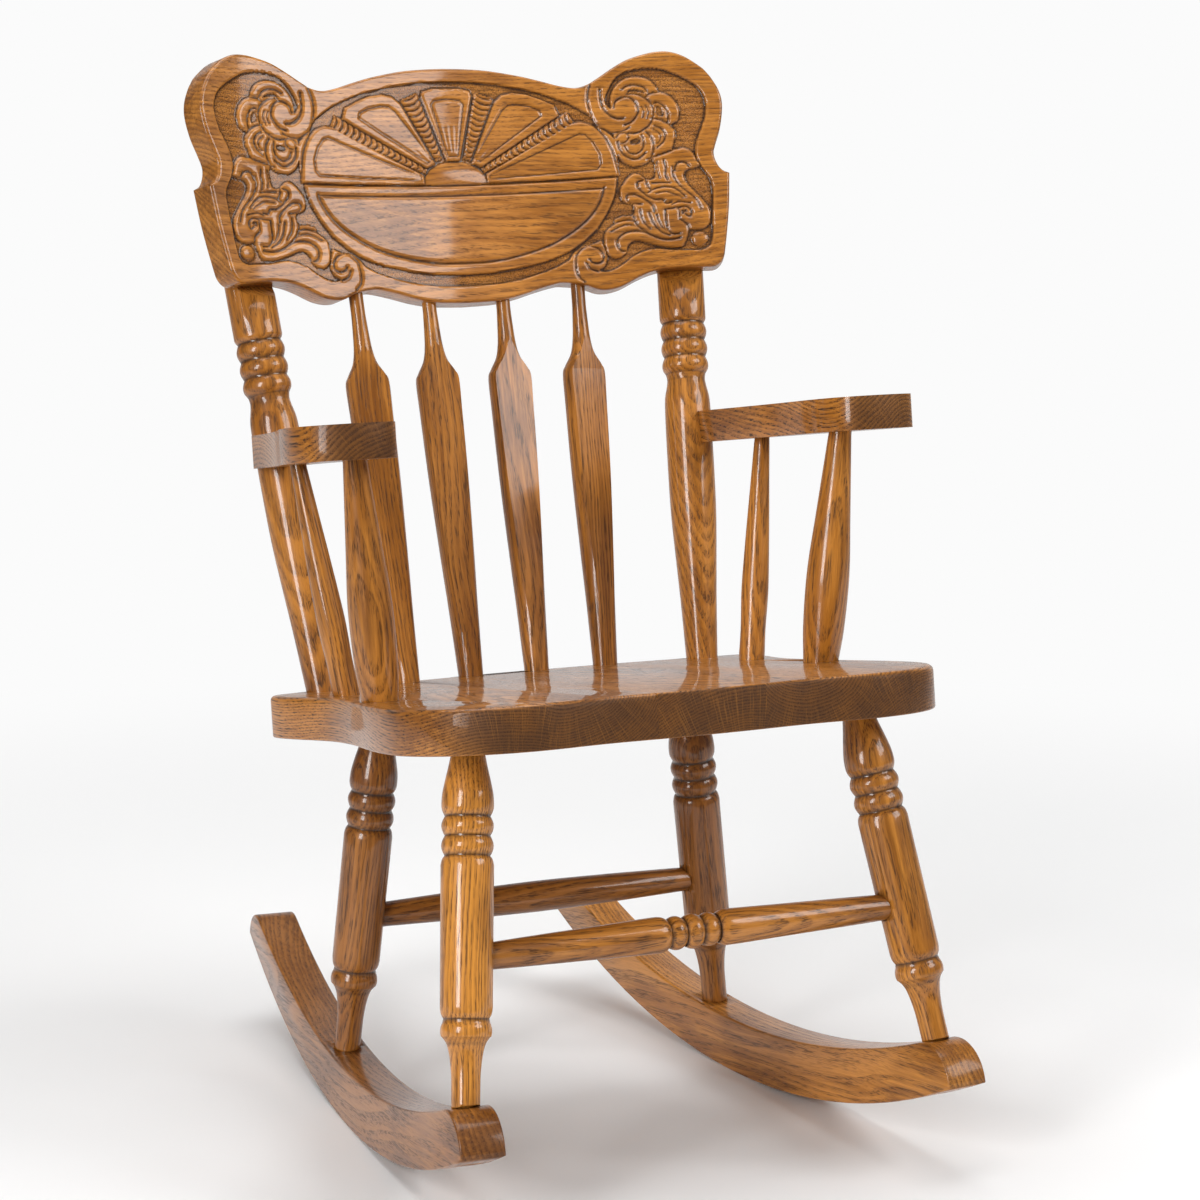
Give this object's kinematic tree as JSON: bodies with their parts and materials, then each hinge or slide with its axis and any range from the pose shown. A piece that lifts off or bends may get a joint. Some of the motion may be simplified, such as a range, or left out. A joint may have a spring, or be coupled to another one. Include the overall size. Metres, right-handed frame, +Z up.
{
  "type": "rocking chair",
  "caption": "Small oak press back rocking chair with a carved crest rail, arrow spindles, a glued plank seat, turned legs and bowed rockers.",
  "frame": {"origin": "on the floor, under the middle of the chair's overall length and width", "axes": "+Z up, +X to the right as seen from the front, and the sitter faces -Y"},
  "size_m": [0.4372, 0.5362, 0.713],
  "materials": {
    "oak": "stained oak under glossy lacquer",
    "oak_plug": "stained oak end grain under glossy lacquer",
    "screw_steel": "plain zinc"
  },
  "bodies": {
    "root": {"crest_rail": "oak", "back_post_left": "oak", "back_post_right": "oak", "back_spindle_1": "oak", "back_spindle_2": "oak", "back_spindle_3": "oak", "back_spindle_4": "oak", "seat_board_1": "oak", "seat_board_2": "oak", "seat_board_3": "oak", "seat_board_4": "oak", "seat_board_5": "oak", "arm_left": "oak", "arm_right": "oak", "arm_post_left": "oak", "arm_post_right": "oak", "arm_spindle_left": "oak", "arm_spindle_right": "oak", "leg_front_left": "oak", "leg_front_right": "oak", "leg_rear_left": "oak", "leg_rear_right": "oak", "stretcher_front": "oak", "stretcher_rear": "oak", "rocker_left": "oak", "rocker_right": "oak", "crest_screws": "screw_steel", "crest_plugs": "oak_plug", "arm_screws": "screw_steel", "arm_plugs": "oak_plug", "rocker_screws": "screw_steel", "rocker_plugs": "oak_plug"}
  },
  "joints": []
}
